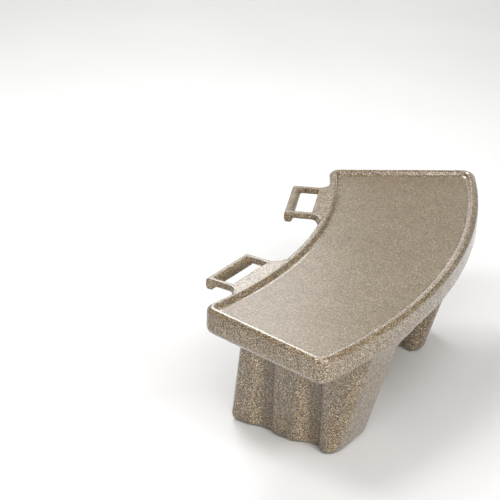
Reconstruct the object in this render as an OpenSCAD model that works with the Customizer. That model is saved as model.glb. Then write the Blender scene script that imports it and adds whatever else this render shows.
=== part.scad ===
// Curved bar tray that hangs on the rim of a round spa, on two hooks and two reeded legs.
// The design is drawn about the spa's own axis with z = 0 at the crest of the tray's lip,
// then moved so that the origin is the middle of the spa-side edge, level with the rim
// that carries the hooks. +X points away from the spa, +Y along the tray, +Z up.

/* [Tray] */
// Radius of the spa rim that the tray's inner edge follows
rim_r = 958; // [930:2:990]
// Width of the tray from the spa side to the outer edge
tray_w = 330; // [322:2:340]
// Half of the angle that the tray spans round the spa
half_angle = 23.6; // [23:0.2:25]
// Height of the skirt from the crest of the lip to its foot
skirt_h = 60; // [60:1:66]
// Depth of the tray's floor below the crest of the lip
floor_drop = 10; // [10:0.5:12]
// Wall thickness of every moulded shell
wall = 5; // [4:0.5:5]
// Radius of the outer top edge of the lip
top_r = 11; // [9:0.5:12]
// Radius of the two bends between the lip and the floor
lip_bend_r = 4.5; // [3:0.25:4.75]
// Width of the level crest of the lip
lip_flat = 2; // [1:0.5:3]
// Radius of the skirt's bottom edge
foot_r = 20; // [16:1:20]
// Radius of the tray's outer corners in plan
outer_corner_r = 34; // [30:1:40]
// Radius of the tray's spa-side corners in plan
inner_corner_r = 28; // [27:1:34]

/* [Hooks] */
// Angle of each hook's and each leg's centre line from the middle of the tray
hook_angle = 12.4; // [12:0.1:13]
// Width of a hook across its loop
hook_w = 148; // [144:1:152]
// Reach of a hook from the tray's edge to the end of its loop
hook_reach = 85; // [82:1:90]
// Depth of the window, along the reach
window_d = 41; // [36:1:44]
// Width of each side bar of the loop
side_bar_w = 11; // [9:0.5:13]
// Width of the end bar of the loop
end_bar_w = 19; // [17:0.5:21]
// Depth from the crest of the lip to the face that bears on the rim
seat_depth = 14; // [12:0.5:18]
// Drop of the end bar's tooth below the bearing face
tooth_drop = 10; // [8:1:14]

/* [Legs] */
// Height from the foot of the skirt to the underside of a leg
leg_h = 258; // [240:2:280]
// Distance from the spa's axis to a leg's outer face, at its underside
leg_out_low = 1190; // [1184:2:1200]
// Distance from the spa's axis to a leg's inner face, at its underside
leg_in_low = 928; // [924:1:934]
// Distance that a leg's inner face at the top stands proud of the tray's edge
leg_in_proud = 3; // [2:0.5:4]
// Half of the angle between a leg's two grooved sides
leg_half_angle = 2.8; // [2.6:0.1:3]
// Distance that the reeds' crests stand out from the leg's tapering core
reed_out = 13; // [10:1:16]
// Height of the reeds above the grooves between them
reed_h = 8; // [6:1:12]
// Distance from one groove to the next
reed_pitch = 118; // [116:1:122]
// Distance from the spa's axis to the crest of the middle reed
reed_mid = 1094; // [1090:1:1100]

/* [Hidden] */

// Colours of the mouldings and the hardware
stone = [0.60, 0.54, 0.46];
steel = [0.72, 0.73, 0.74];
brass = [0.76, 0.62, 0.33];
rubber = [0.12, 0.12, 0.12];
foam = [0.90, 0.86, 0.70];

plan_fn = 360;   // facets of the large plan circles
round_fn = 48;   // facets of the small round features
arc_steps = 8;   // straight steps in each bend of a profile
slack = 0.05;    // radial clearance of a fastener in its hole
gap = 0.3;       // clearance between two curved mouldings
through = 1;     // length by which a cutter passes a face

out_r = rim_r + tray_w;
foot_z = -skirt_h;
floor_under = -floor_drop - wall;
lip_in = top_r + lip_flat + 2 * lip_bend_r;   // where the floor begins
recess_corner = 46;   // corner centres of the recess, in from the tray's edges

// Recess round the underside that the pan lies in, and the flange it is screwed to
land_in = foot_r + 12;
flange_in = land_in + 24;
deep_w = 1200;   // width of an end's section, past the far end of the tray
pan_t = wall + 1;
pan_top = foot_z + pan_t;
pan_gap = 1;

// Hook fixing: insert bosses under the floor, then tongue, washer and bolt head
boss_r = 13;
boss_h = 16;
tongue_t = 10;
tongue_w = 116;
tongue_len = 88;
tongue_root = 6;
tongue_top = floor_under - boss_h;
tongue_low = tongue_top - tongue_t;
bolt_r = 4;
bolt_head_r = 7.5;
bolt_head_h = 5.5;
bolt_reach = 11;
insert_wall = 2;
insert_h = 13;
washer_t = 1.6;
hook_bolts = [for (u = [32, 72], v = [-40, 40]) [rim_r + u, v]];
hook_top = -2;
gusset_reach = 16;

// Leg fixing: screws from inside the tray, through the pan, into the leg's top
leg_top_t = wall + 1;
leg_boss_r = 9;
leg_boss_h = 14;
pillar_out = 3;   // the outer reed stands out by this much more
screw_r = 3;
screw_head_r = 5.5;
screw_head_h = 4;
leg_insert_h = 14;
leg_screws = [for (u = [1070, 1218], v = [-28, 28]) [u, v]];
leg_low = foot_z - leg_h;
leg_in_slope = (rim_r - leg_in_proud - leg_in_low) / leg_h;
leg_out_slope = (out_r - foot_r - leg_out_low) / leg_h;

// Pan screws: radius and angle of each
pan_screws_at = [for (p = [[out_r - 46, 20], [out_r - 46, 4.5], [rim_r + 46, 19], [rim_r + 46, 3.5]],
    side = [-1, 1]) [p[0], side * p[1]]];
pan_screw_r = 2.5;
pan_screw_head_r = 5;
pan_screw_head_h = 3;
pan_boss_r = 8;
pan_boss_h = 14;
pan_screw_len = 14;

// Drain in each leg's underside
drain_u = 1060;
drain_r = 12;
drain_boss_r = 26;
drain_boss_h = 26;
recess_r = 18;
recess_d = 7;
plug_head_r = 17;
plug_head_t = 4;
plug_len = 15;
groove_r = 9.8;
groove_w = 2.8;
groove_up = 6;
seal_r = 1.05;

// Rubber bumpers on each leg's inner face
bumper_r = 13;
bumper_t = 6;
bumper_z = -268;
bumper_v = 18;
stem_r = 4;
stem_len = 10;

// Foam block under the middle of the floor
foam_half_angle = 6;
foam_inset = 70;

// Points along an arc from angle a0 to a1 about [cx, cz]
function arc(cx, cz, r, a0, a1, n = arc_steps) =
    [for (i = [0:n]) let (a = a0 + (a1 - a0) * i / n) [cx + r * cos(a), cz + r * sin(a)]];

// Section across the tray as a solid of width w, set in by d: rounded lip and rounded foot
module block_section(d, w) {
    difference() {
        translate([d, foot_z + d]) square([w - 2 * d, skirt_h - 2 * d]);
        for (m = [0, 1]) translate([m * w, 0]) mirror([m, 0]) {
            round_off(top_r, -top_r, top_r - d, 1);
            round_off(foot_r, foot_z + foot_r, foot_r - d, -1);
        }
    }
}

// Corner piece that leaves an arc of radius r about a corner centre at [cx, cz]
module round_off(cx, cz, r, up) difference() {
    translate([-through, up > 0 ? cz : cz - cx - through]) square([cx + through, cx + through]);
    translate([cx, cz]) circle(r = r, $fn = plan_fn);
}

// Section of the recess inside the lip: a bend over the crest and one into the floor
module recess_section(w) {
    in = lip_in - lip_bend_r;
    for (m = [0, 1]) translate([m * w, 0]) mirror([m, 0]) {
        translate([lip_in, lip_bend_r - floor_drop]) circle(r = lip_bend_r, $fn = plan_fn);
        difference() {
            translate([in - lip_bend_r, -lip_bend_r]) square([lip_bend_r + 1, lip_bend_r + through]);
            translate([in - lip_bend_r, -lip_bend_r]) circle(r = lip_bend_r, $fn = plan_fn);
        }
    }
    translate([in, lip_bend_r - floor_drop]) square([w - 2 * in, floor_drop - lip_bend_r + through]);
    translate([lip_in, -floor_drop]) square([w - 2 * lip_in, floor_drop + through]);
}

// Section of what the hollow beneath the tray leaves: the floor, thick under the bends
module walled_section(w) {
    in = lip_in - lip_bend_r - wall;
    translate([in, floor_under]) square([w - 2 * in, skirt_h]);
}

// The tray's plan shape, set in by d from every edge
module tray_plan(d) {
    apex = d / sin(half_angle);
    far = 1700;
    intersection() {
        difference() {
            circle(r = out_r - d, $fn = plan_fn);
            circle(r = rim_r + d, $fn = plan_fn);
        }
        polygon([[apex, 0],
            [apex + far * cos(half_angle), -far * sin(half_angle)],
            [apex + far * cos(half_angle), far * sin(half_angle)]]);
    }
}

module plan_slab(d, low, high) {
    translate([0, 0, low]) linear_extrude(high - low) tray_plan(d);
}

module plan_ring(d_out, d_in, low, high) {
    translate([0, 0, low]) linear_extrude(high - low) difference() {
        tray_plan(d_out);
        tray_plan(d_in);
    }
}

// A section carried along all four edges of the tray: child 0 is the section across its
// width, child 1 the same section at an end, which reaches far into the tray
module carried_round() intersection() {
    rotate([0, 0, -2 * half_angle]) rotate_extrude(angle = 4 * half_angle, $fn = plan_fn)
        translate([rim_r, 0]) children(0);
    for_end(1) end_bar_of() children(1);
    for_end(-1) end_bar_of() children(1);
}

module for_end(side) {
    mirror([0, side < 0 ? 1 : 0, 0]) rotate([0, 0, half_angle]) children();
}

module end_bar_of() {
    translate([out_r + wall, 0, 0]) rotate([0, 0, -90]) rotate([90, 0, 0])
        linear_extrude(out_r) children();
}

// The tray's plan shape set in by d, its corners rounded about points that lie outer_c
// and inner_c in from both edges. With some ease, the arcs cross the edges at an angle.
module rounded_plan(d, outer_c, inner_c, ease = 0) {
    outer_turn = asin(outer_c / (out_r - outer_c));
    inner_turn = asin(inner_c / (rim_r + inner_c));
    outer_at = (out_r - outer_c) * cos(outer_turn);
    inner_at = (rim_r + inner_c) * cos(inner_turn);
    difference() {
        tray_plan(d);
        for (side = [-1, 1]) for_end(side) {
            translate([outer_at, -outer_c]) corner_cut(outer_c, outer_c - d + ease, -outer_turn);
            translate([inner_at, -inner_c]) mirror([1, 0])
                corner_cut(inner_c, inner_c - d + ease, inner_turn);
        }
    }
}

module corner_cut(size, r, turn) difference() {
    polygon([[0, 0], [0, size + 2], [size + 6, size + 2], [(size + 6) * cos(turn), (size + 6) * sin(turn)]]);
    circle(r = r, $fn = plan_fn);
}

// The tray as a solid block with rounded edges and corners, set in by d
module tray_block(d) intersection() {
    carried_round() {
        block_section(d, tray_w);
        block_section(d, deep_w);
    }
    translate([0, 0, foot_z - through]) linear_extrude(skirt_h + 2 * through)
        rounded_plan(d, outer_corner_r, inner_corner_r);
}

// Everything above the floor and inside the lip
module recess() intersection() {
    carried_round() {
        recess_section(tray_w);
        recess_section(deep_w);
    }
    translate([0, 0, floor_under]) linear_extrude(wall + floor_drop + 2 * through)
        rounded_plan(top_r + lip_flat - 0.5, recess_corner, recess_corner, 0.3);
}

// The hollow between the skirt's inner face and the underside of the floor
module hollow_under() difference() {
    tray_block(wall);
    carried_round() {
        walled_section(tray_w);
        walled_section(deep_w);
    }
}

// Moves the design from the spa's axis to the part's own origin
module placed() {
    translate([-rim_r, 0, seat_depth]) children();
}

// Puts a hook's or a leg's own piece on its centre line: side is -1 for left, 1 for right
module on_side(side) {
    placed() mirror([0, side < 0 ? 1 : 0, 0]) rotate([0, 0, hook_angle]) children();
}

module at_each(places, z) {
    for (p = places) translate([p[0], p[1], z]) children();
}

module at_each_polar(places, z) {
    for (p = places) rotate([0, 0, p[1]]) translate([p[0], 0, z]) children();
}

module tray_shell() color(stone) placed() difference() {
    union() {
        difference() {
            tray_block(0);
            recess();
            hollow_under();
            plan_slab(land_in, foot_z - through, foot_z + wall + through);
        }
        plan_ring(land_in - wall, land_in, foot_z + 1, pan_top + wall);
        plan_ring(land_in - wall, flange_in, pan_top, pan_top + wall);
        at_each_polar(pan_screws_at, pan_top) cylinder(h = pan_boss_h, r = pan_boss_r, $fn = round_fn);
        for (side = [-1, 1]) rotate([0, 0, side * hook_angle])
            at_each(hook_bolts, tongue_top) cylinder(h = boss_h + through, r = boss_r, $fn = round_fn);
    }
    at_each_polar(pan_screws_at, pan_top - through)
        cylinder(h = pan_screw_len, r = pan_screw_r + slack, $fn = round_fn);
    for (side = [-1, 1]) rotate([0, 0, side * hook_angle]) {
        at_each(hook_bolts, tongue_top - through)
            cylinder(h = insert_h + through, r = bolt_r + insert_wall + slack, $fn = round_fn);
        translate([rim_r - 20, -tongue_w / 2 - gap, tongue_low - gap])
            cube([20 + wall * 2, tongue_w + 2 * gap, tongue_t + 2 * gap]);
    }
}

module underside_pan() color(stone) placed() difference() {
    plan_slab(land_in + pan_gap, foot_z, pan_top);
    at_each_polar(pan_screws_at, foot_z - through)
        cylinder(h = pan_t + 2 * through, r = pan_screw_r + slack, $fn = round_fn);
    at_each_polar(pan_screws_at, foot_z - through)
        cylinder(h = pan_screw_head_h + 0.4 + through, r = pan_screw_head_r + 0.5, $fn = round_fn);
    for (side = [-1, 1]) rotate([0, 0, side * hook_angle]) at_each(leg_screws, foot_z - through)
        cylinder(h = pan_t + 2 * through, r = screw_r + gap, $fn = round_fn);
}

module pan_screws() color(steel) placed()
    at_each_polar(pan_screws_at, foot_z + 0.4) difference() {
        union() {
            cylinder(h = pan_screw_head_h, r = pan_screw_head_r, $fn = round_fn);
            cylinder(h = pan_screw_len + 2, r = pan_screw_r, $fn = round_fn);
        }
        translate([0, 0, -through]) cylinder(h = 1.6 + through, r = 2, $fn = 6);
    }

module foam_core() color(foam) placed()
    rotate([0, 0, -foam_half_angle]) rotate_extrude(angle = 2 * foam_half_angle, $fn = plan_fn)
        polygon([[rim_r + foam_inset, pan_top], [out_r - foam_inset, pan_top],
            [out_r - foam_inset, floor_under], [rim_r + foam_inset, floor_under]]);

// A leg in plan, set in by d: a wedge whose two sides are rows of reeds, each an arc
module leg_plan(d) {
    chord = reed_pitch / 2;
    reed_r = (chord * chord + reed_h * reed_h) / (2 * reed_h);
    for (side = [0, 1]) mirror([0, side, 0]) intersection() {
        rotate([0, 0, leg_half_angle]) for (k = [-1:1])
            translate([reed_mid + k * reed_pitch, reed_out + max(0, k) * pillar_out - reed_r])
                circle(r = reed_r - d, $fn = plan_fn);
        translate([rim_r / 2, -through]) square([out_r, 2 * reed_pitch]);
    }
}

// A leg from the side, set in by d: radius from the spa's axis against height.
// Its top cups the skirt's foot on both sides, and flares out to the skirt's face.
cup_turn = 60;
cup_r = foot_r + gap;
cup_z = foot_z + foot_r;
cup_top = cup_z - cup_r * cos(cup_turn);
cup_end = acos((foot_r - slack) / cup_r);
flare_h = 36;
flare_out = out_r - foot_r + cup_r * sin(cup_turn) + 1.7;
leg_foot_r = 16;
function leg_in(z) = rim_r - leg_in_proud - max(0, foot_z - z) * leg_in_slope;
function leg_out(z) = out_r - foot_r - (foot_z - z) * leg_out_slope;
function flare(z) =
    (flare_out - leg_out(cup_top)) * pow(max(0, 1 - (cup_top - z) / flare_h), 1.3);
function leg_foot(d) = let (r = leg_foot_r - d, z = leg_low + leg_foot_r) concat(
    arc(leg_out(z) - leg_foot_r, z, r, 0, -90),
    arc(leg_in(z) + leg_foot_r, z, r, -90, -180));
leg_profile = concat(
    [[leg_in(foot_z), cup_top]],
    arc(rim_r + foot_r, cup_z, cup_r, 270 - cup_turn, 270 - cup_end),
    [[rim_r + foot_r, foot_z], [out_r - foot_r, foot_z]],
    arc(out_r - foot_r, cup_z, cup_r, 270 + cup_end, 270 + cup_turn),
    [for (i = [0:8]) let (z = cup_top - flare_h * i / 8) [leg_out(z) + flare(z), z]],
    leg_foot(0),
    [[leg_in(foot_z), foot_z]]);
hollow_top = foot_z - leg_top_t;
hollow_profile = concat(
    [[leg_in(hollow_top) + wall, hollow_top], [leg_out(hollow_top) - wall, hollow_top]],
    leg_foot(wall));

module leg_body(d, profile) intersection() {
    translate([0, 0, leg_low - through]) linear_extrude(leg_h + skirt_h) leg_plan(d);
    rotate([0, 0, -hook_angle / 2]) rotate_extrude(angle = hook_angle, $fn = plan_fn) polygon(profile);
}

// Places a piece on the leg's inner face, with its own +Z pointing at the spa's wall
module on_inner_face(v) {
    face_r = leg_in(bumper_z);
    rotate([0, 0, asin(v / face_r)]) translate([face_r, 0, bumper_z])
        rotate([0, -90 + atan(leg_in_slope), 0]) children();
}

module leg(side) on_side(side) difference() {
    union() {
        difference() {
            leg_body(0, leg_profile);
            leg_body(wall, hollow_profile);
        }
        at_each(leg_screws, foot_z - leg_top_t - leg_boss_h)
            cylinder(h = leg_boss_h + leg_top_t - 1, r = leg_boss_r, $fn = round_fn);
        translate([drain_u, 0, leg_low + 1])
            cylinder(h = drain_boss_h - 1, r = drain_boss_r, $fn = round_fn);
    }
    at_each(leg_screws, foot_z - leg_insert_h - 2)
        cylinder(h = leg_insert_h + 2 + through, r = screw_r + insert_wall + slack, $fn = round_fn);
    translate([drain_u, 0, leg_low - through]) {
        cylinder(h = recess_d + through, r = recess_r, $fn = round_fn);
        cylinder(h = drain_boss_h + 2 * through, r = drain_r, $fn = round_fn);
    }
    for (v = [-bumper_v, bumper_v]) on_inner_face(v) translate([0, 0, -stem_len - 1])
        cylinder(h = stem_len + 4, r = stem_r + slack, $fn = round_fn);
}

module left_leg() color(stone) leg(-1);
module right_leg() color(stone) leg(1);

// Threaded insert as a plain brass bush
module insert_bush(r, h) difference() {
    cylinder(h = h, r = r + insert_wall, $fn = round_fn);
    translate([0, 0, -through]) cylinder(h = h + 2 * through, r = r + slack, $fn = round_fn);
}

module washer(r, outer) difference() {
    cylinder(h = washer_t, r = outer, $fn = round_fn);
    translate([0, 0, -through]) cylinder(h = washer_t + 2 * through, r = r + gap, $fn = round_fn);
}

module leg_inserts(side) on_side(side)
    at_each(leg_screws, foot_z - leg_insert_h) insert_bush(screw_r, leg_insert_h);
module leg_washers(side) on_side(side) at_each(leg_screws, pan_top) washer(screw_r, 8);
module leg_screw_set(side) on_side(side) at_each(leg_screws, pan_top + washer_t) difference() {
    union() {
        cylinder(h = screw_head_h, r = screw_head_r, $fn = round_fn);
        translate([0, 0, -pan_t - washer_t - leg_insert_h + 2])
            cylinder(h = pan_t + washer_t + leg_insert_h - 1, r = screw_r, $fn = round_fn);
    }
    translate([0, 0, 1.6]) cylinder(h = screw_head_h, r = 2.4, $fn = 6);
}

module left_leg_inserts() color(brass) leg_inserts(-1);
module right_leg_inserts() color(brass) leg_inserts(1);
module left_leg_washers() color(steel) leg_washers(-1);
module right_leg_washers() color(steel) leg_washers(1);
module left_leg_screws() color(steel) leg_screw_set(-1);
module right_leg_screws() color(steel) leg_screw_set(1);

// Everything that the tray's spa-side edge fills, grown by the moulding gap
module edge_room() {
    deep = 60;
    rotate([0, 0, -half_angle]) rotate_extrude(angle = 2 * half_angle, $fn = plan_fn)
        polygon(concat([[rim_r + deep, gap]],
            [for (p = arc(top_r, -top_r, top_r + gap, 90, 180)) [rim_r + p[0], p[1]]],
            [for (p = arc(foot_r, foot_z + foot_r, foot_r + gap, 180, 270)) [rim_r + p[0], p[1]]],
            [[rim_r + deep, foot_z - gap]]));
}

// Loop, plate and root fillets of a hook in plan, along its own centre line
module hook_outline() {
    end_u = rim_r - hook_reach;
    root_r = 25;
    root_v = hook_w / 2 + root_r;
    root_u = sqrt(rim_r * rim_r - root_v * root_v) - root_r;
    difference() {
        union() {
            translate([end_u + end_bar_w / 2, -hook_w / 2])
                square([hook_reach + top_r - end_bar_w / 2, hook_w]);
            for (s = [-1, 1]) translate([root_u, s > 0 ? 0 : -root_v])
                square([root_r + top_r + 6, root_v]);
        }
        for (s = [-1, 1]) translate([root_u, s * root_v]) circle(r = root_r, $fn = plan_fn);
        translate([end_u + end_bar_w, -hook_w / 2 + side_bar_w])
            square([window_d, hook_w - 2 * side_bar_w]);
    }
}

// Section of the loop's end bar and tooth, from its tip
module end_bar() {
    end_u = rim_r - hook_reach;
    tip_r = 4;
    inner_r = 11;
    low = -seat_depth - tooth_drop;
    translate([0, hook_w / 2, 0]) rotate([90, 0, 0]) linear_extrude(hook_w) polygon(concat(
        [[end_u + 3, low]],
        arc(end_u + tip_r, hook_top - tip_r, tip_r, 180, 90),
        arc(end_u + end_bar_w - inner_r, hook_top - inner_r, inner_r, 90, 0),
        [[end_u + end_bar_w - 3, low]]));
}

// Deep root of the plate, hollowed to clear the rim's rolled edge
module gusset() {
    rolled_u = rim_r - hook_reach + end_bar_w + window_d + 1;
    depth = -seat_depth - tongue_low;
    translate([0, hook_w / 2, 0]) rotate([90, 0, 0]) linear_extrude(hook_w) polygon(concat(
        [[rim_r + top_r, tongue_low]],
        [for (a = [0 : 90 / arc_steps : 90])
            [rolled_u + gusset_reach * cos(a), tongue_low + depth * sin(a)]],
        [[rim_r + top_r, -seat_depth + 1]]));
}

module hook(side) on_side(side) difference() {
    union() {
        difference() {
            union() {
                translate([0, 0, -seat_depth]) linear_extrude(seat_depth + hook_top) hook_outline();
                end_bar();
                gusset();
            }
            rotate([0, 0, -hook_angle]) edge_room();
        }
        translate([rim_r - tongue_root, -tongue_w / 2, tongue_low])
            cube([tongue_root + tongue_len, tongue_w, tongue_t]);
    }
    at_each(hook_bolts, tongue_low - through)
        cylinder(h = tongue_t + 2 * through, r = bolt_r + gap, $fn = round_fn);
}

module left_hook() color(stone) hook(-1);
module right_hook() color(stone) hook(1);

module hook_inserts(side) on_side(side)
    at_each(hook_bolts, tongue_top) insert_bush(bolt_r, insert_h - 1);
module hook_washers(side) on_side(side) at_each(hook_bolts, tongue_low - washer_t) washer(bolt_r, 9);
module hook_bolt_set(side) on_side(side) at_each(hook_bolts, tongue_low - washer_t) {
    translate([0, 0, -bolt_head_h]) cylinder(h = bolt_head_h, r = bolt_head_r, $fn = 6);
    translate([0, 0, -1]) cylinder(h = washer_t + tongue_t + bolt_reach + 1, r = bolt_r, $fn = round_fn);
}

module left_hook_inserts() color(brass) hook_inserts(-1);
module right_hook_inserts() color(brass) hook_inserts(1);
module left_hook_washers() color(steel) hook_washers(-1);
module right_hook_washers() color(steel) hook_washers(1);
module left_hook_bolts() color(steel) hook_bolt_set(-1);
module right_hook_bolts() color(steel) hook_bolt_set(1);

module wall_bumpers(side) on_side(side)
    for (v = [-bumper_v, bumper_v]) on_inner_face(v) {
        translate([0, 0, gap]) cylinder(h = bumper_t - gap, r = bumper_r, $fn = round_fn);
        translate([0, 0, -stem_len]) cylinder(h = stem_len + 1, r = stem_r, $fn = round_fn);
    }

module left_wall_bumpers() color(rubber) wall_bumpers(-1);
module right_wall_bumpers() color(rubber) wall_bumpers(1);

// Push-in plug: head in the recess, stem with a groove for its seal, and a finger bar
module drain_plug(side) on_side(side) translate([drain_u, 0, leg_low + recess_d]) {
    difference() {
        union() {
            translate([0, 0, -plug_head_t]) cylinder(h = plug_head_t, r = plug_head_r, $fn = round_fn);
            translate([0, 0, -1]) cylinder(h = plug_len + 1, r = drain_r - slack, $fn = round_fn);
        }
        translate([0, 0, groove_up]) difference() {
            cylinder(h = groove_w, r = drain_r + 1, $fn = round_fn);
            translate([0, 0, -through])
                cylinder(h = groove_w + 2 * through, r = groove_r, $fn = round_fn);
        }
        for (s = [-1, 1]) translate([-12, s > 0 ? 2.5 : -9.5, -plug_head_t - through])
            cube([24, 7, 2.2 + through]);
    }
}

module plug_seal(side) on_side(side)
    translate([drain_u, 0, leg_low + recess_d + groove_up + groove_w / 2])
        rotate_extrude($fn = round_fn)
            translate([groove_r + slack + seal_r, 0]) circle(r = seal_r, $fn = 24);

module left_drain_plug() color(rubber) drain_plug(-1);
module right_drain_plug() color(rubber) drain_plug(1);
module left_plug_seal() color(rubber) plug_seal(-1);
module right_plug_seal() color(rubber) plug_seal(1);

tray_shell();
underside_pan();
pan_screws();
foam_core();
left_leg();
right_leg();
left_leg_inserts();
right_leg_inserts();
left_leg_washers();
right_leg_washers();
left_leg_screws();
right_leg_screws();
left_hook();
right_hook();
left_hook_inserts();
right_hook_inserts();
left_hook_washers();
right_hook_washers();
left_hook_bolts();
right_hook_bolts();
left_wall_bumpers();
right_wall_bumpers();
left_drain_plug();
right_drain_plug();
left_plug_seal();
right_plug_seal();
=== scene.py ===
"""A curved, speckled bar tray that hangs on a round spa's rim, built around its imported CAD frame."""

import math

import bmesh
import bpy
from mathutils import Matrix, Vector


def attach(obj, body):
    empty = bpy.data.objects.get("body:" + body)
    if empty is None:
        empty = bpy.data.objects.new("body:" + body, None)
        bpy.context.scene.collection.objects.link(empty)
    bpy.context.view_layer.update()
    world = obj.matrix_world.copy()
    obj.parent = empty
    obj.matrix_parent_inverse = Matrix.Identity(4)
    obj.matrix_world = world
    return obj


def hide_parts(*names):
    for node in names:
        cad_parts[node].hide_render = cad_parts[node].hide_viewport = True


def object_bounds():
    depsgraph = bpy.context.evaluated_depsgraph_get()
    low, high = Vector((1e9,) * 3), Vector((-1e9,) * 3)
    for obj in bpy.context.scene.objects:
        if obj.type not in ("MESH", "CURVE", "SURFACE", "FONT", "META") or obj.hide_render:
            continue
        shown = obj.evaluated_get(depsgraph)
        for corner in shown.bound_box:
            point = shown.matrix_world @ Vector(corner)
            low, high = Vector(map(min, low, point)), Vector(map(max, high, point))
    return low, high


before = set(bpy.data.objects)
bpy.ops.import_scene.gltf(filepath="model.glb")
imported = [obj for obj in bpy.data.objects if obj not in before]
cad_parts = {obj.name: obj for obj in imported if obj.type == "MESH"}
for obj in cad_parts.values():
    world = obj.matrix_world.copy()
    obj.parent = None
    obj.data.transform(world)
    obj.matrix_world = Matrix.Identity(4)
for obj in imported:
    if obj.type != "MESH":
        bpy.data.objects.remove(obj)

cad_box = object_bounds()

# ---- driving dimensions, in millimetres about the spa's axis, z = 0 at the lip's crest ----
RIM_R = 958.0          # radius of the tray's spa-side edge
TRAY_W = 330.0
OUT_R = RIM_R + TRAY_W
HALF_ANGLE = 23.6      # degrees, half of what the tray spans
SEAT = 14.0            # lip's crest above the part's origin
FOOT_Z = -60.0         # foot of the skirt
FOOT_R = 20.0
TOP_R = 11.0           # the lip's outer bend
FLOOR_DROP = 10.0
BEND_R = 7.0           # both bends between the lip and the floor
LAND_IN = 32.0         # recess that the pan lies in
PAN_TOP = -54.0
CORNER_R = (30.0, 26.0)           # the tray's outer and spa-side corners in plan
FLOOR_CORNER_R = (20.0, 14.0)     # the same corners where the floor begins
LEAST_CORNER_R = 6.0

LEG_LOW = -318.0
LEG_TOP = -42.0
FLARE_LOW = -96.0      # where the leg's outer face starts to sweep out under the skirt
CUP_H = 12.0           # height below the skirt's foot where the leg starts to cup it
CUP_WIDE = 6.0         # growth in half width over that height
LEG_IN_PROUD = 3.0     # spa-side face past the tray's edge
LEG_IN_LOW = 928.0
LEG_OUT_LOW = 1190.0
LEG_FOOT_R = 16.0
LEG_CORNER_IN = (16.0, 5.0)       # radius in plan, and its least towards the foot
LEG_CORNER_OUT = (30.0, 12.0)
LEG_HALF_ANGLE = 2.8

GROOVES = (1034.0, 1150.0)        # distance of each groove from the spa's axis
PITCH = GROOVES[1] - GROOVES[0]
REED_OUT, REED_LOW = 13.0, -3.0   # crest and groove, out from the leg's tapering core
REED_STEP = 0.10                  # share of the pitch that a reed takes to stand out
REED_FALL = (0.46, 0.34)          # where it starts to fall away, and over what share
PILLAR_OUT, PILLAR_TURN = 16.0, 34.0
RUN_OUT = (7.0, 6.0, 34.0)        # how much the first groove loses, from what height, over what height
PAINTED_SHADE_FALL = (0.44, 0.42)          # as REED_FALL, for the painted shade in the grooves
PAINTED_SHADE_SHIFT = 2.0                  # how far out of each groove its painted shade lies

DRAIN_U = 1060.0
DRAIN_BORE = ((18.8, 0.0), (18.2, 0.25), (18.0, 0.8), (18.0, 6.6), (17.6, 7.0), (12.6, 7.0),
              (12.05, 7.5), (12.05, 27.0))      # (radius, height) of the recess and bore for the plug

HOOK_ANGLE = 12.4      # degrees from the tray's middle to each hook and leg
HOOK_W = 148.0
HOOK_REACH = 85.0
HOOK_TOP = -0.4
WINDOW_D = 41.0
SIDE_BAR = 11.0
END_BAR = 19.0
TOOTH = 10.0
ROOT_R = 25.0          # plan radius where the hook widens into the tray
ROOT_DEPTH = 27.0      # height of the rolled gusset under the plate
ROOT_ROLL = 16.0       # its width
INTO_TRAY = 12.0       # how far the hook runs on behind the tray's edge

# ---- steps along each stretch ----
EDGE_STEPS, END_STEPS, CORNER_STEPS = 150, 24, 14
LEG_IN_STEPS, LEG_REED_STEPS, LEG_OUT_STEPS, LEG_FACE_STEPS = 8, 28, 12, 12
FOOT_STEPS, TAPER_STEPS, FLARE_STEPS = 10, 24, 20
DRAIN_STEPS = 64


# ---- shared shapes ----
def at(u, v, z, turn=0.0):
    """A point given about the spa's axis, turned by some degrees, as a vector in the row frame."""
    a = math.radians(turn)
    x = u * math.cos(a) - v * math.sin(a)
    y = u * math.sin(a) + v * math.cos(a)
    return Vector(((x - RIM_R) / 1000, y / 1000, (z + SEAT) / 1000))


def arc(cx, cz, r, a0, a1, n):
    """n + 1 points along an arc, angles in degrees."""
    angles = [math.radians(a0 + (a1 - a0) * i / n) for i in range(n + 1)]
    return [(cx + r * math.cos(a), cz + r * math.sin(a)) for a in angles]


def between(p, q, n):
    """The n - 1 points that divide the straight line from p to q."""
    return [tuple(a * (1 - t) + b * t for a, b in zip(p, q)) for t in (i / n for i in range(1, n))]


def mirrored(points):
    """The same points on the -Y side, in the opposite order."""
    return [(x, -y) for x, y in reversed(points)]


def eased(t):
    """0 to 1 for t from 0 to 1, level at both ends."""
    t = min(max(t, 0.0), 1.0)
    return t * t * (3 - 2 * t)


def quarter_round(t):
    """0 to 1 along a quarter of a circle, steep at first, and level from t = 1 on."""
    return math.sqrt(1 - (1 - min(t, 1.0)) ** 2)


def hermite(t, p0, p1, m0, m1):
    """A curve from p0 to p1 that leaves with slope m0 and arrives with slope m1."""
    return ((2 * t**3 - 3 * t**2 + 1) * p0 + (t**3 - 2 * t**2 + t) * m0
            + (3 * t**2 - 2 * t**3) * p1 + (t**3 - t**2) * m1)


def object_from(bm, name, *materials, smooth=True):
    """A new object with the mesh that bm holds."""
    bmesh.ops.recalc_face_normals(bm, faces=bm.faces)
    mesh = bpy.data.meshes.new(name)
    bm.to_mesh(mesh)
    bm.free()
    for p in mesh.polygons:
        p.use_smooth = smooth
    for material in materials:
        mesh.materials.append(material)
    obj = bpy.data.objects.new(name, mesh)
    bpy.context.scene.collection.objects.link(obj)
    return obj


def applied(obj):
    """Puts an object's modifiers into its mesh."""
    graph = bpy.context.evaluated_depsgraph_get()
    mesh = bpy.data.meshes.new_from_object(obj.evaluated_get(graph))
    obj.modifiers.clear()
    obj.data = mesh
    for p in mesh.polygons:
        p.use_smooth = True


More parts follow.
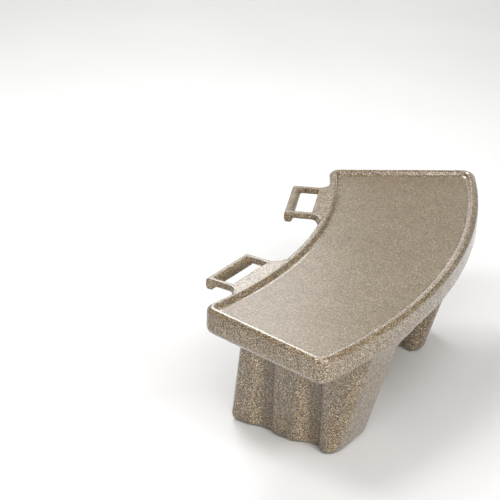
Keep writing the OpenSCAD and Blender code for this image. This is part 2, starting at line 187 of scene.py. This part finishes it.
def stand_for(obj, node):
    """Shows a stone-coloured piece in place of a CAD node."""
    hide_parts(node)
    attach(obj, "root")


def loft(bm, rows, closed_ends):
    """Bands of quads between rows of points, each row a closed loop of one length, and the caps."""
    rings = [[bm.verts.new(p) for p in row] for row in rows]
    n = len(rings[0])
    bands = []
    for low, high in zip(rings, rings[1:]):
        steps = [(i, (i + 1) % n) for i in range(n)]
        bands.append([bm.faces.new((low[i], low[j], high[j], high[i])) for i, j in steps])
    caps = [bm.faces.new(ring) for ring, closed in zip((rings[0], rings[-1]), closed_ends) if closed]
    return bands, caps


def prism(bm, outline, low, high, place):
    """A closed solid from an outline of (a, b) points, with place(a, b, h) giving each corner."""
    bottom = [bm.verts.new(place(a, b, low)) for a, b in outline]
    top = [bm.verts.new(place(a, b, high)) for a, b in outline]
    n = len(outline)
    for i in range(n):
        bm.faces.new((bottom[i], bottom[(i + 1) % n], top[(i + 1) % n], top[i]))
    bm.faces.new(bottom)
    bm.faces.new(top)


# ---- materials ----
MIX_FACTOR, MIX_A, MIX_B = 0, 6, 7     # the Mix node's sockets for colours
MIX_RESULT = 2
GRAIN = 820                            # speckle grains in a metre
PLASTIC = Vector((0.300, 0.240, 0.168))
WARM_TAN = (0.80, 0.73, 0.625)


class Nodes:
    """Short names for making one material's node tree."""

    def __init__(self, name):
        self.material = bpy.data.materials.new(name)
        self.material.use_nodes = True
        self.tree = self.material.node_tree
        self.shader = self.tree.nodes["Principled BSDF"]
        self.coords = self.tree.nodes.new("ShaderNodeTexCoord").outputs["Object"]

    def add(self, kind, **values):
        """A node with its settings; a name that starts with in_ is an input's."""
        node = self.tree.nodes.new("ShaderNode" + kind)
        for key, value in values.items():
            if key.startswith("in_"):
                node.inputs[key[3:]].default_value = value
            else:
                setattr(node, key, value)
        return node

    def link(self, a, b):
        self.tree.links.new(a, b)

    def noise(self, scale, detail, rough):
        node = self.add("TexNoise", in_Scale=scale, in_Detail=detail, in_Roughness=rough)
        self.link(self.coords, node.inputs["Vector"])
        return node.outputs["Fac"]

    def ramp(self, source, stops, mode="LINEAR"):
        node = self.add("ValToRGB")
        node.color_ramp.interpolation = mode
        while len(node.color_ramp.elements) < len(stops):
            node.color_ramp.elements.new(0.5)
        for element, (place, colour) in zip(node.color_ramp.elements, stops):
            element.position = place
            element.color = (*colour, 1)
        self.link(source, node.inputs["Fac"])
        return node.outputs["Color"]

    def times(self, a, b):
        """An output multiplied by another output, or by a plain colour."""
        node = self.add("Mix", data_type="RGBA", blend_type="MULTIPLY")
        node.inputs[MIX_FACTOR].default_value = 1.0
        self.link(a, node.inputs[MIX_A])
        if isinstance(b, tuple):
            node.inputs[MIX_B].default_value = (*b, 1)
        else:
            self.link(b, node.inputs[MIX_B])
        return node.outputs[MIX_RESULT]

    def bump(self, height, strength, distance):
        node = self.add("Bump", in_Strength=strength, in_Distance=distance)
        self.link(height, node.inputs["Height"])
        self.link(node.outputs["Normal"], self.shader.inputs["Normal"])


def grey(v):
    return (v, v, v)


def speckled(name, spread, tint, roughness, coat):
    """Rotomoulded plastic: tan with cream, gold, grey and dark brown grains through it, with painted
    highlight and shade across the legs' reeds and grooves.
    """
    n = Nodes(name)
    cells = n.add("TexVoronoi", in_Scale=GRAIN, in_Randomness=1.0)
    n.link(n.coords, cells.inputs["Vector"])
    pick = n.add("SeparateColor")
    n.link(cells.outputs["Color"], pick.inputs["Color"])

    def shade(*colour):
        """A grain's colour, pushed away from the plastic's own by the spread."""
        return tuple(max(0.01, c) for c in PLASTIC.lerp(Vector(colour), spread))

    grains = n.ramp(pick.outputs["Red"], [
        (0.00, shade(0.035, 0.026, 0.018)),
        (0.13, shade(0.120, 0.085, 0.050)),
        (0.28, shade(0.270, 0.205, 0.130)),
        (0.50, shade(0.330, 0.280, 0.210)),
        (0.66, shade(0.430, 0.310, 0.160)),
        (0.78, shade(0.250, 0.245, 0.235)),
        (0.88, shade(0.620, 0.560, 0.450)),
        (0.96, shade(0.820, 0.790, 0.700))], "CONSTANT")
    clouds = n.ramp(n.noise(34, 4, 0.6), [(0.30, grey(0.88)), (0.70, grey(1.08))])
    broad = n.ramp(n.noise(5.5, 2, 0.5), [(0.35, (0.97, 0.95, 0.92)), (0.65, (1.03, 1.03, 1.03))])
    # Painted highlight and shade on the legs: lighter on each reed's shoulder where it starts to fall
    # away, darker down in each groove.
    groove = n.add("Attribute", attribute_name="painted_shading_mask")
    painted_reed_highlight_and_groove_shade = n.ramp(groove.outputs["Fac"], [
        (0.00, grey(0.94)),
        (0.30, grey(1.30)),
        (0.55, grey(1.14)),
        (0.95, (0.68, 0.63, 0.58))], "EASE")
    colour = grains
    for factor in (clouds, broad, tint, painted_reed_highlight_and_groove_shade):
        colour = n.times(colour, factor)
    n.link(colour, n.shader.inputs["Base Color"])
    gloss = n.ramp(n.noise(260, 3, 0.6), [
        (0.30, grey(roughness - 0.07)),
        (0.70, grey(roughness + 0.09))])
    n.link(gloss, n.shader.inputs["Roughness"])
    n.shader.inputs["IOR"].default_value = 1.5
    n.shader.inputs["Coat Weight"].default_value = coat
    n.shader.inputs["Coat Roughness"].default_value = 0.10
    n.bump(n.noise(420, 3, 0.55), 0.06, 0.0004)
    return n.material


def metal(name, colour, roughness):
    n = Nodes(name)
    tone = n.ramp(n.noise(900, 2, 0.5), [(0.3, tuple(c * 0.9 for c in colour)), (0.7, colour)])
    n.link(tone, n.shader.inputs["Base Color"])
    n.shader.inputs["Metallic"].default_value = 1.0
    n.shader.inputs["Roughness"].default_value = roughness
    n.bump(n.noise(1600, 2, 0.5), 0.1, 0.0002)
    return n.material


def rubber_like(name, low, high, roughness, bump):
    n = Nodes(name)
    n.link(n.ramp(n.noise(700, 4, 0.6), [(0.3, low), (0.7, high)]), n.shader.inputs["Base Color"])
    n.shader.inputs["Roughness"].default_value = roughness
    n.bump(n.noise(1400, 3, 0.6), bump, 0.0004)
    return n.material


STONE = speckled("speckled_stone", 1.5, WARM_TAN, 0.36, 0.75)
HOOK = speckled("speckled_hook", 1.4, WARM_TAN, 0.36, 0.3)
FLOOR = speckled("speckled_floor", 0.75, (0.78, 0.745, 0.665), 0.34, 0.0)
STEEL = metal("stainless", (0.62, 0.62, 0.62), 0.28)
BRASS = metal("brass", (0.62, 0.44, 0.18), 0.32)
RUBBER = rubber_like("rubber", grey(0.018), grey(0.035), 0.62, 0.3)
FOAM = rubber_like("foam", (0.62, 0.58, 0.44), (0.76, 0.72, 0.56), 0.9, 0.6)


# ---- tray ----
def tray_loop(d, corner_out, corner_in, z):
    """The tray's plan outline set in by d, with its corners rounded, at height z."""
    half = math.radians(HALF_ANGLE)
    square = half + math.pi / 2

    def corner(rho, r, outside):
        """A corner's arc at the +Y end, centred r in from both edges."""
        lean = half - math.asin((d + r) / rho)
        cx, cy = rho * math.cos(lean), rho * math.sin(lean)
        start, stop = (lean, square) if outside else (square, lean + math.pi)
        angles = [start + (stop - start) * i / CORNER_STEPS for i in range(CORNER_STEPS + 1)]
        return [(cx + r * math.cos(a), cy + r * math.sin(a)) for a in angles]

    def edge(r, x, y):
        """The long edge of radius r that starts at the point (x, y), without its ends."""
        start = math.atan2(y, x)
        angles = [start - 2 * start * i / EDGE_STEPS for i in range(1, EDGE_STEPS)]
        return [(r * math.cos(a), r * math.sin(a)) for a in angles]

    outer = corner(OUT_R - d - corner_out, corner_out, True)
    inner = corner(RIM_R + d + corner_in, corner_in, False)
    end = between(outer[-1], inner[0], END_STEPS)
    far_end = between((inner[0][0], -inner[0][1]), (outer[-1][0], -outer[-1][1]), END_STEPS)
    points = edge(OUT_R - d, outer[0][0], -outer[0][1]) + outer + end + inner
    points += edge(RIM_R + d, *inner[-1]) + mirrored(inner) + far_end + mirrored(outer)
    return [at(x, y, z) for x, y in points]


def tray_profile():
    """(set-in, height) across the lip and skirt, from the pan's recess round to the floor."""
    turn = math.degrees(math.acos(1 - FLOOR_DROP / (2 * BEND_R)))
    floor_at = TOP_R + 2 * BEND_R * math.sin(math.radians(turn))
    rows = [(LAND_IN + 1.0, PAN_TOP), (LAND_IN + 0.3, PAN_TOP + 0.2), (LAND_IN, PAN_TOP - 0.6)]
    rows += [(LAND_IN, FOOT_Z + 1.2), (LAND_IN - 0.4, FOOT_Z + 0.4), (LAND_IN - 1.4, FOOT_Z)]
    rows += arc(FOOT_R, FOOT_Z + FOOT_R, FOOT_R, 270, 180, 12)
    rows += [(0.0, FOOT_Z + FOOT_R + 8 * i) for i in (1, 2, 3)]
    rows += arc(TOP_R, -TOP_R, TOP_R, 180, 90, 10)
    rows += arc(TOP_R, -BEND_R, BEND_R, 90, 90 - turn, 7)[1:]
    rows += arc(floor_at, BEND_R - FLOOR_DROP, BEND_R, 270 - turn, 270, 7)[1:]
    rows += [(floor_at + 2.0, -FLOOR_DROP), (floor_at + 14.0, -FLOOR_DROP)]
    return rows, floor_at


def tray():
    """The lip, skirt and recess as one loft, with the floor as its last band and cap."""
    rows, floor_at = tray_profile()
    loops = []
    for d, z in rows:
        inside = z > -0.01 or (d > TOP_R and z > -FLOOR_DROP - 0.01)
        blend = min(1.0, max(0.0, (d - TOP_R) / (floor_at - TOP_R))) if inside else 0.0
        radii = [max(r - d, LEAST_CORNER_R) * (1 - blend) + floor_r * blend
                 for r, floor_r in zip(CORNER_R, FLOOR_CORNER_R)]
        loops.append(tray_loop(d, *radii, z))
    bm = bmesh.new()
    bands, caps = loft(bm, loops, (True, True))
    for face in (*bands[-1], caps[1]):
        face.material_index = 1
    bmesh.ops.triangulate(bm, faces=caps)
    stand_for(object_from(bm, "tray", STONE, FLOOR), "tray_shell")


# ---- legs ----
def across_reed(u, shift=0.0):
    """Where u lies between two grooves, from 0 at the spa side to 1; shift moves the grooves out."""
    return (u - GROOVES[0] - shift) / PITCH + (0.0 if u >= GROOVES[0] + shift else 1.0)


def painted_shading_mask(u):
    """0 on a reed's face, to 1 at the bottom of the groove beside it: where the painted highlight and
    shade fall.
    """
    if u >= GROOVES[1] + PAINTED_SHADE_SHIFT:
        return 0.0
    start, share = PAINTED_SHADE_FALL
    return eased((across_reed(u, PAINTED_SHADE_SHIFT) - start) / share)


def reed(u, z):
    """How far the side stands out from the leg's core: two broad reeds, then a proud pillar.

    Each stands out sharply on its spa side, and falls away softly into the next groove. The
    first groove runs out above the foot.
    """
    if u >= GROOVES[1]:
        return REED_LOW + (PILLAR_OUT - REED_LOW) * quarter_round((u - GROOVES[1]) / PILLAR_TURN)
    t = across_reed(u)
    low = REED_LOW
    if u < GROOVES[0] or t < REED_STEP:
        loss, start, height = RUN_OUT
        low += loss * (1 - eased((z - LEG_LOW - start) / height))
    start, share = REED_FALL
    return low + (REED_OUT - low) * quarter_round(t / REED_STEP) * (1 - eased((t - start) / share))


def tapered(high, low, z):
    """Radius at height z of a face that runs from high, at the skirt's foot, to low, at the leg's."""
    return high - (FOOT_Z - z) * ((high - low) / (FOOT_Z - LEG_LOW))


def leg_in(z):
    return tapered(RIM_R - LEG_IN_PROUD, LEG_IN_LOW, z)


def leg_out(z):
    return tapered(OUT_R - FOOT_R, LEG_OUT_LOW, z)


def leg_faces(z):
    """Radius of a leg's spa-side and outer faces at height z, and the growth in its half width."""
    a, b, wide = leg_in(z), leg_out(z), 0.0
    if z > FLARE_LOW:
        flare = LEG_TOP - FLARE_LOW
        slope = (leg_out(0) - leg_out(-1)) * flare
        b = hermite((z - FLARE_LOW) / flare, leg_out(FLARE_LOW), OUT_R - 0.2, slope, 0.0)
    if z > FOOT_Z - CUP_H:
        above = z - FOOT_Z + CUP_H
        low = leg_in(FOOT_Z - CUP_H)
        a = low + (RIM_R + 0.4 - low) * eased(above / (LEG_TOP - FOOT_Z + CUP_H))
        wide = CUP_WIDE * (above / CUP_H) ** 2
    return a, b, wide


def leg_loop(z, set_in, side):
    """One level of a leg, with how deep each point lies in a groove, which sets the painted highlight
    and shade.

    Its reeded sides run between a spa-side face and an outer face.
    """
    a, b, wide = leg_faces(z)
    a, b = a + set_in, b - set_in
    r_in, r_out = (max(r - set_in, least) for r, least in (LEG_CORNER_IN, LEG_CORNER_OUT))
    tan = math.tan(math.radians(LEG_HALF_ANGLE))

    def half_width(u):
        return u * tan + reed(u, z) - set_in + wide

    def on_radius(u, v):
        """The faces follow the spa's radius, so a point off the centre line comes in a little."""
        return math.sqrt(max(u * u - v * v, 0.0)), v

    half = []
    for i in range(LEG_IN_STEPS + 1):
        q = math.pi / 2 * i / LEG_IN_STEPS
        u = a + r_in * (1 - math.cos(q))
        half.append((u, half_width(u) - r_in * (1 - math.sin(q))))
    turn_at = max(b - r_out, GROOVES[1] + 8.0)
    stops = [a + r_in, *GROOVES, turn_at]
    for lo, hi in zip(stops, stops[1:]):
        reach = [lo + (hi - lo) * i / LEG_REED_STEPS for i in range(1, LEG_REED_STEPS + 1)]
        half += [(u, half_width(u)) for u in reach]
    for i in range(1, LEG_OUT_STEPS + 1):
        q = math.pi / 2 * i / LEG_OUT_STEPS
        u = turn_at + (b - turn_at) * math.sin(q)
        half.append((u, half_width(u) - r_out * (1 - math.cos(q))))

    plan = [on_radius(u, v) for u, v in half]
    shares = [1 - 2 * i / LEG_FACE_STEPS for i in range(1, LEG_FACE_STEPS)]
    outer_face = [on_radius(b, half[-1][1] * share) for share in shares]
    spa_face = [on_radius(a, -half[0][1] * share) for share in shares]
    loop = plan + outer_face + mirrored(plan) + spa_face
    side_depths = [painted_shading_mask(u) for u, _ in half]
    face_depths = [0.0] * len(shares)
    depths = side_depths + face_depths + side_depths[::-1] + face_depths
    return [at(u, v * side, z, HOOK_ANGLE * side) for u, v in loop], depths


def leg_levels():
    """(height, set-in) from the rounded foot up the taper and the flare."""
    levels = []
    for i in range(FOOT_STEPS + 1):
        q = math.pi / 2 * i / FOOT_STEPS
        levels.append((LEG_LOW + LEG_FOOT_R * (1 - math.cos(q)), LEG_FOOT_R * (1 - math.sin(q))))
    low = LEG_LOW + LEG_FOOT_R
    levels += [(low + (FLARE_LOW - low) * i / TAPER_STEPS, 0.0) for i in range(1, TAPER_STEPS + 1)]
    flare = LEG_TOP - FLARE_LOW
    levels += [(FLARE_LOW + flare * i / FLARE_STEPS, 0.0) for i in range(1, FLARE_STEPS + 1)]
    return levels


def drain_rings(side):
    """The recess and the blind bore for the drain plug, from the leg's underside up."""
    angles = [2 * math.pi * i / DRAIN_STEPS for i in range(DRAIN_STEPS)]
    return [[at(DRAIN_U + r * math.cos(a), r * math.sin(a), LEG_LOW + h, HOOK_ANGLE * side)
             for a in angles] for r, h in DRAIN_BORE]


def leg(side, node):
    """A reeded leg, with its underside filled between its outline and the drain's recess."""
    bm = bmesh.new()
    rows = [leg_loop(z, set_in, side) for z, set_in in leg_levels()]
    _, caps = loft(bm, [points for points, _ in rows], (False, True))
    _, drain_cap = loft(bm, drain_rings(side), (False, True))
    bmesh.ops.triangulate(bm, faces=caps + drain_cap)
    bmesh.ops.triangle_fill(bm, use_beauty=True, edges=[e for e in bm.edges if e.is_boundary])
    obj = object_from(bm, node + "_moulding", STONE)
    # How deep each point lies in a groove, kept on the mesh to place the painted highlight and shade.
    painted_shading_values = [depth for _, depths in rows for depth in depths]
    painted_shading_values += [0.0] * (DRAIN_STEPS * len(DRAIN_BORE))
    tone = obj.data.attributes.new("painted_shading_mask", "FLOAT", "POINT")
    tone.data.foreach_set("value", painted_shading_values)
    stand_for(obj, node)


# ---- hooks ----
def hook(side, node):
    """A plate with a window, its end bar with a tooth, and its deep root, fused and softened."""
    turn = HOOK_ANGLE * side
    low = -SEAT
    half = HOOK_W / 2
    end_u = RIM_R - HOOK_REACH
    window_in = end_u + END_BAR
    window_out = window_in + WINDOW_D
    root_v = half + ROOT_R
    root_u = math.sqrt(RIM_R**2 - root_v**2) - ROOT_R
    inner_end = RIM_R + INTO_TRAY
    bm = bmesh.new()

    def flat(u, v, h):
        """Places an outline that is drawn in plan."""
        return at(u, v * side, h, turn)

    def along(u, h, v):
        """Places an outline that is a section across the spa's rim."""
        return at(u, v * side, h, turn)

    plate = [(window_out, -half), (root_u, -half)]
    plate += arc(root_u, -root_v, ROOT_R, 90, 0, 10)
    plate += [(inner_end, -root_v), (inner_end, root_v)]
    plate += arc(root_u, root_v, ROOT_R, 0, -90, 10)
    plate += [(root_u, half), (window_out, half)]
    prism(bm, plate, low, HOOK_TOP, flat)
    for s in (-1, 1):     # side bars, each running into the end bar and the plate
        bar = [(end_u + 8, s * half), (window_out + 4, s * half),
               (window_out + 4, s * (half - SIDE_BAR)), (end_u + 8, s * (half - SIDE_BAR))]
        prism(bm, bar, low, HOOK_TOP, flat)
    end_bar = [(end_u + 4, low - TOOTH), (end_u, low - TOOTH + 6)]
    end_bar += arc(end_u + 6, HOOK_TOP - 6, 6, 180, 90, 6)
    end_bar += arc(window_in - 12, HOOK_TOP - 12, 12, 90, 8, 8)
    end_bar += [(window_in, low - TOOTH + 5), (window_in - 4, low - TOOTH)]
    prism(bm, end_bar, -half, half, along)
    root = [(inner_end, low - ROOT_DEPTH)]     # the gusset
    root += [(window_out + 1 + (u - window_out) * ROOT_ROLL / ROOT_DEPTH, h)
             for u, h in arc(window_out, low - ROOT_DEPTH, ROOT_DEPTH, 0, 90, 10)]
    root += [(inner_end, low + 2)]
    prism(bm, root, -half, half, along)
    obj = object_from(bm, node + "_moulding", HOOK)
    remesh = obj.modifiers.new("fuse", "REMESH")
    remesh.mode = "VOXEL"
    remesh.voxel_size = 0.0014
    remesh.adaptivity = 0.0
    soften = obj.modifiers.new("soften", "SMOOTH")
    soften.factor = 0.5
    soften.iterations = 6
    applied(obj)
    stand_for(obj, node)


# ---- pieces that stay as the CAD made them ----
FINISHES = (("underside_pan", STONE), ("foam_core", FOAM), ("insert", BRASS), ("plug", RUBBER),
            ("bumper", RUBBER), ("", STEEL))     # the first word that a node's name holds


def finish_cad_nodes():
    """Gives each CAD node that still shows its material, and rounds the rubber pieces' edges."""
    for name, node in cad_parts.items():
        if node.hide_render:
            continue
        node.data.materials.clear()
        node.data.materials.append(next(material for word, material in FINISHES if word in name))
        if "bumper" in name or name.endswith("drain_plug"):
            weld = node.modifiers.new("weld", "WELD")
            weld.merge_threshold = 0.00002
            bevel = node.modifiers.new("soft_edges", "BEVEL")
            bevel.width = 0.0012
            bevel.segments = 3
            bevel.limit_method = "ANGLE"
            bevel.angle_limit = math.radians(40)
            node.modifiers.new("normals", "WEIGHTED_NORMAL")


# ---- stage, in metres ----
CAMERA_AT = (1.46883, -4.30449, 2.09399 + SEAT / 1000)
CAMERA_TURN = (20.37, 25.01, 1.56)     # azimuth, elevation and roll, in degrees
STAGE_MIDDLE = Vector((0.05, 0.0, 0.0))
STAGE_REACH = 30.0
SOFT_BOXES = (     # name, azimuth and elevation, distance, size, power in watts
    ("right_front", 50, 42, 3.2, (1.0, 1.0), 38),
    ("front", 20, 42, 3.2, (1.0, 1.0), 27),
    ("low_front", 30, 10, 3.2, (1.0, 1.0), 20),
    ("low_right", 55, 10, 3.2, (1.0, 1.0), 7),
    ("left_high", -35, 62, 3.2, (1.0, 1.0), 32),
    ("top", 0, 89, 4.5, (6.0, 6.0), 26),
    ("back_left", -138, 46, 3.2, (1.2, 1.2), 48),
    ("back", 180, 35, 3.2, (1.0, 1.0), 7),
    ("rim", 196, 6, 4.0, (3.0, 0.6), 10))
SKY = ((0.10, (0.48, 0.46, 0.43, 1)), (0.42, (0.075, 0.070, 0.063, 1)))     # by height


def outward(azimuth, elevation):
    """A unit vector; azimuth 0 is on the -Y side, and turns towards +X. Angles are in radians."""
    return Vector((math.sin(azimuth) * math.cos(elevation), -math.cos(azimuth) * math.cos(elevation),
                   math.sin(elevation)))


def camera():
    data = bpy.data.cameras.new("camera")
    data.lens, data.sensor_width = 170.5, 36.0
    data.shift_x, data.shift_y = 0.006, -0.002
    data.clip_start, data.clip_end = 0.1, 100
    cam = bpy.data.objects.new("camera", data)
    bpy.context.scene.collection.objects.link(cam)
    azimuth, elevation, roll = (math.radians(angle) for angle in CAMERA_TURN)
    back = outward(azimuth, elevation)
    level = Vector((math.cos(azimuth), math.sin(azimuth), 0))
    right = level * math.cos(roll) + back.cross(level) * math.sin(roll)
    turned = Matrix((right, back.cross(right), back)).transposed()
    cam.matrix_world = Matrix.Translation(CAMERA_AT) @ turned.to_4x4()
    bpy.context.scene.camera = cam


def area_light(name, place, target, size, power):
    data = bpy.data.lights.new(name, "AREA")
    data.shape = "RECTANGLE"
    data.size, data.size_y = size
    data.energy = power
    light = bpy.data.objects.new(name, data)
    bpy.context.scene.collection.objects.link(light)
    light.visible_camera = False
    light.location = place
    light.rotation_euler = (Vector(target) - Vector(place)).to_track_quat("-Z", "Y").to_euler()


def lights():
    """Soft boxes aimed at the tray's middle, and a small one whose sheen lies along the near lip."""
    for name, azimuth, elevation, distance, size, power in SOFT_BOXES:
        place = distance * outward(math.radians(azimuth), math.radians(elevation)) + STAGE_MIDDLE
        area_light(name, place, STAGE_MIDDLE, size, power)
    area_light("sheen", (-0.63, 1.27, 0.89), (-0.02, -0.35, 0.0), (0.5, 0.4), 4.2)


def floor():
    """A plain pale floor under the part."""
    bm = bmesh.new()
    corners = [(x * STAGE_REACH, y * STAGE_REACH) for x, y in ((-1, -1), (1, -1), (1, 1), (-1, 1))]
    bm.faces.new([bm.verts.new((x, y, cad_box[0].z)) for x, y in corners])
    n = Nodes("studio_floor")
    tone = n.ramp(n.noise(3, 2, 0.5), [(0.3, grey(0.86)), (0.7, grey(0.88))])
    n.link(tone, n.shader.inputs["Base Color"])
    n.shader.inputs["Roughness"].default_value = 0.9
    object_from(bm, "floor", n.material, smooth=False)


def sky():
    """A world that is pale near the horizon and dim above."""
    world = bpy.data.worlds.new("studio")
    bpy.context.scene.world = world
    world.use_nodes = True
    tree = world.node_tree
    direction = tree.nodes.new("ShaderNodeTexCoord")
    height = tree.nodes.new("ShaderNodeSeparateXYZ")
    glow = tree.nodes.new("ShaderNodeValToRGB")
    for element, (place, colour) in zip(glow.color_ramp.elements, SKY):
        element.position = place
        element.color = colour
    tree.links.new(direction.outputs["Generated"], height.inputs["Vector"])
    tree.links.new(height.outputs["Z"], glow.inputs["Fac"])
    tree.links.new(glow.outputs["Color"], tree.nodes["Background"].inputs["Color"])


camera()
tray()
for side, hand in ((-1, "left"), (1, "right")):
    leg(side, hand + "_leg")
for side, hand in ((-1, "left"), (1, "right")):
    hook(side, hand + "_hook")
finish_cad_nodes()
floor()
sky()
lights()
bpy.context.scene.view_settings.view_transform = "Standard"
